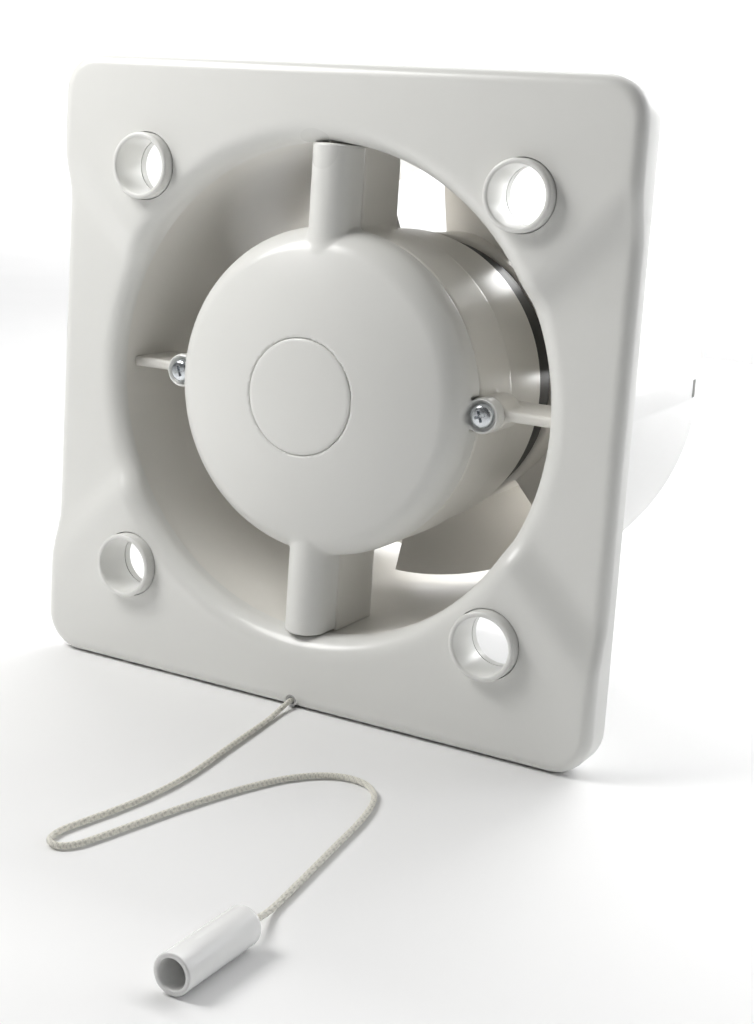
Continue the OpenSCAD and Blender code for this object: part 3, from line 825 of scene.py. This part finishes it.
def make_end_shell():
    # Black: a dark part that also stands in for the shade in the gap between the cup and the
    # impeller
    outer_r, hole_r = DOME_R - 3.2, 9
    front, floor = CUP_BACK + 0.05, SHELL_BACK - WALL
    outline = rounded([
        (hole_r, floor, 0.3), (outer_r - WALL, floor, 0.5), (outer_r - WALL, front, 0.2),
        (outer_r, front, 0.2), (outer_r, SHELL_BACK, 1.2), (hole_r, SHELL_BACK, 0.4)])
    shell = turned("end_shell", outline, 160)
    return stand_for(shell, "motor_end_shell", "black_plastic")


# ---------- impeller ----------

HUB_R = 37.6
HUB_LEN = 25.0
HUB_WALL = 2.0
HUB_FLOOR = 2.2
SHAFT_HOLE_R = 2.01
SLEEVE_R = 6.5                 # the sleeve round the shaft
SLEEVE_END = 69.0
RIBS = 6                       # the ribs inside the hub
RIB_T = 1.6
TIP_R = 57.4
BLADES = 7
BLADE_TURN = math.radians(10)  # where the first blade rests, clockwise from the top
BLADE_SINK = 0.9               # how deep a blade's root is in the hub
BLADE_LEAD = 23.0              # where a blade's edges are round the hub, in degrees:
BLADE_TRAIL = (-23.4, -21.8)   # at its root and at its tip, as in the three below
BLADE_FRONT = (55.6, 53.4)
BLADE_BACK = (75.6, 76.7)
BLADE_T = (1.9, 1.3)
BLADE_CAMBER = 2.6


def blend(ends, t):
    return ends[0] + (ends[1] - ends[0]) * t


def blade_section(span, side, steps):
    """Points along a side of the top blade at a share of its span, from the edge at the right."""
    root_r = HUB_R - BLADE_SINK
    r = root_r + (TIP_R - root_r) * span
    first, last = math.radians(BLADE_LEAD), math.radians(blend(BLADE_TRAIL, span))
    front, back = blend(BLADE_FRONT, span), blend(BLADE_BACK, span)
    slope = math.atan2(back - front, (first - last) * r)
    thick = blend(BLADE_T, span)
    out = []
    for i in range(steps + 1):
        t = i / steps
        half = thick / 2 * math.sqrt(max(0.0, 1 - abs(2 * t - 1) ** 5))
        camber = BLADE_CAMBER * (4 * t * (1 - t) - 0.5)
        off = side * half - camber
        around = (first + (last - first) * t) * r - off * math.sin(slope)
        y = front + (back - front) * t + off * math.cos(slope)
        out.append((r * math.sin(around / r), y, r * math.cos(around / r)))
    return out


def make_blade(turn):
    chord_steps, span_steps = 22, 8
    points, faces = [], []
    loop = 2 * chord_steps
    for j in range(span_steps + 1):
        span = j / span_steps
        top = blade_section(span, 1, chord_steps)
        low = blade_section(span, -1, chord_steps)
        for x, y, z in top + low[-2:0:-1]:
            points.append((x * math.cos(turn) + z * math.sin(turn), y,
                           z * math.cos(turn) - x * math.sin(turn)))
    for j in range(span_steps):
        for k in range(loop):
            a, b = j * loop + k, j * loop + (k + 1) % loop
            faces.append((a, b, b + loop, a + loop))
    faces.append(tuple(range(loop)))
    faces.append(tuple(span_steps * loop + k for k in range(loop)))
    return points, faces


def make_hub_rib(turn):
    """A rib from the sleeve to the hub's wall, a little lower at the wall."""
    along = Vector((math.cos(turn), 0, math.sin(turn)))
    aside = Vector((-math.sin(turn), 0, math.cos(turn))) * (RIB_T / 2)
    low = HUB_FRONT + 1
    points = []
    for r, high in ((SLEEVE_R - 1, HUB_FRONT + 13.7), (HUB_R - 1, HUB_FRONT + 10.7)):
        for s in (-1, 1):
            for y in (low, high):
                points.append(tuple(along * r + aside * s + Vector((0, y, 0))))
    return points, BOX_FACES


def make_impeller():
    hub_end, floor, inner_r = HUB_FRONT + HUB_LEN, HUB_FRONT + HUB_FLOOR, HUB_R - HUB_WALL
    outline = rounded([
        (SHAFT_HOLE_R, HUB_FRONT, 0.2), (HUB_R, HUB_FRONT, 1.4), (HUB_R, hub_end, 0.7),
        (inner_r, hub_end, 0.7), (inner_r, floor, 1.5), (SLEEVE_R, floor, 1.5),
        (SLEEVE_R, SLEEVE_END, 0.5), (SHAFT_HOLE_R, SLEEVE_END, 0.2)], 6)
    points, faces = ring_mesh(outline, 160)
    for i in range(BLADES):
        add_part(points, faces, *make_blade(2 * math.pi / BLADES * i + BLADE_TURN))
    for i in range(RIBS):
        add_part(points, faces, *make_hub_rib(2 * math.pi / RIBS * i))
    impeller = from_points("fan_wheel", points, faces, 40)
    return stand_for(impeller, "impeller", "blade_plastic", "impeller_set")


# ---------- screws ----------

HEAD_FRONT = -3.5
HEAD_R = 2.9
HEAD_ROUND = 1.2
SHANK_R = 1.4
SHANK_END = 9.0
CROSS_TURN = 0.35              # how the recess is turned, in radians
CROSS = ((-4, 1.75, 0.36), (-2.3, 0.6, 0.3))   # its y, reach and half width, at its top and floor


def cross_bar(x, turn):
    """One bar of a screw's cross recess, narrowing inwards, as a cutter."""
    points = []
    for y, reach, thick in CROSS:
        for u, v in ((-reach, -thick), (reach, -thick), (reach, thick), (-reach, thick)):
            points.append((x + u * math.cos(turn) - v * math.sin(turn), y,
                           u * math.sin(turn) + v * math.cos(turn)))
    faces = [(0, 1, 2, 3), (7, 6, 5, 4), (0, 4, 5, 1), (1, 5, 6, 2), (2, 6, 7, 3), (3, 7, 4, 0)]
    return from_points("cutter", points, faces)


def make_cover_screws():
    """Two pan-head screws with a cross recess."""
    outline = [(0, HEAD_FRONT)]
    steps = 8
    for i in range(1, steps + 1):
        a = math.pi / 2 * i / steps
        outline.append((HEAD_R - HEAD_ROUND + HEAD_ROUND * math.sin(a),
                        HEAD_FRONT + 1.3 * (1 - math.cos(a))))
    outline += [(HEAD_R, HEAD_SEAT), (SHANK_R, HEAD_SEAT), (SHANK_R, SHANK_END), (0, SHANK_END)]
    screws = turned("dome_screws", outline, 64, [(s * SCREW_X, 0, 0) for s in (-1, 1)], 40)
    cutters = [cross_bar(s * SCREW_X, turn)
               for s in (-1, 1) for turn in (CROSS_TURN, CROSS_TURN + math.pi / 2)]
    cut(screws, cutters, 40)
    return stand_for(screws, "cover_screws", "zinc_screw")


def dress_cad_nodes():
    """Every CAD node that is kept takes the material of its slot."""
    slots = {part["node"]: part["material_slot"] for part in frame["record"]["subparts"]}
    for node, obj in frame["nodes"].items():
        dress(obj, slots[node])


# ---------- stage ----------

def make_floor():
    """A floor that curves up into a backdrop. Its sizes are in metres."""
    size, rise, radius, steps = 3.0, 2.2, 0.8, 16
    z = FLOOR_Z * MM - 0.0002
    line = [(-size, z)]
    for i in range(steps + 1):
        a = math.pi / 2 * i / steps
        line.append((size - radius + radius * math.sin(a), z + radius * (1 - math.cos(a))))
    line.append((size, z + rise))
    points = [(x / MM, y / MM, h / MM) for x in (-2.4 * size, 2.4 * size) for y, h in line]
    count = len(line)
    faces = [(i, i + 1, i + 1 + count, i + count) for i in range(count - 1)]
    floor = from_points("floor", points, faces, 60)
    n = Nodes("floor")
    n.feed("Base Color", n.ramp(n.noise(6, 2.0), (0.9, 0.9, 0.9), (0.93, 0.93, 0.93)))
    n.set("Roughness", 0.7)
    floor.data.materials.append(n.material)


def lamp(name, place, aim, size, power, colour=(1, 1, 1)):
    """A soft lamp of (width, height), in metres and watts, pointed at a place."""
    data = bpy.data.lights.new(name, "AREA")
    data.shape = "RECTANGLE"
    data.size, data.size_y = size
    data.energy = power
    data.color = colour
    obj = link(name, data)
    obj.location = place
    obj.rotation_euler = (Vector(aim) - Vector(place)).to_track_quat("-Z", "Y").to_euler()


def make_lights():
    lamp("key", (-0.22, -0.18, 0.27), (0, 0, 0), (0.2, 0.2), 1.35, (1.0, 0.995, 0.98))
    lamp("side", (0.80, 0.45, 0.35), (0.06, 0.04, 0), (0.6, 0.5), 1.5, (0.95, 0.97, 1.0))
    lamp("backdrop", (-0.8, 1.7, 2.3), (-0.8, 3.0, 0.3), (6.0, 1.0), 125)
    lamp("floor", (0, 0.5, 1.7), (0, 0.1, -0.08), (1.2, 0.9), 3.0)
    lamp("rear", (0.05, 0.75, 0.12), (0, 0.1, 0), (0.4, 0.4), 5)
    world = bpy.data.worlds.new("world")
    world.use_nodes = True
    background = world.node_tree.nodes["Background"]
    background.inputs["Color"].default_value = (1, 1, 1, 1)
    background.inputs["Strength"].default_value = 0.1
    bpy.context.scene.world = world
    bpy.context.scene.view_settings.view_transform = "Standard"


# ---------- the scene ----------

make_camera()
MATERIALS = make_materials()
dress_cad_nodes()
make_cord()
make_plate()
make_bushes()
make_tube()
make_bracket()
make_dome()
make_cap()
make_cup()
make_end_shell()
make_impeller()
make_cover_screws()
make_floor()
make_lights()
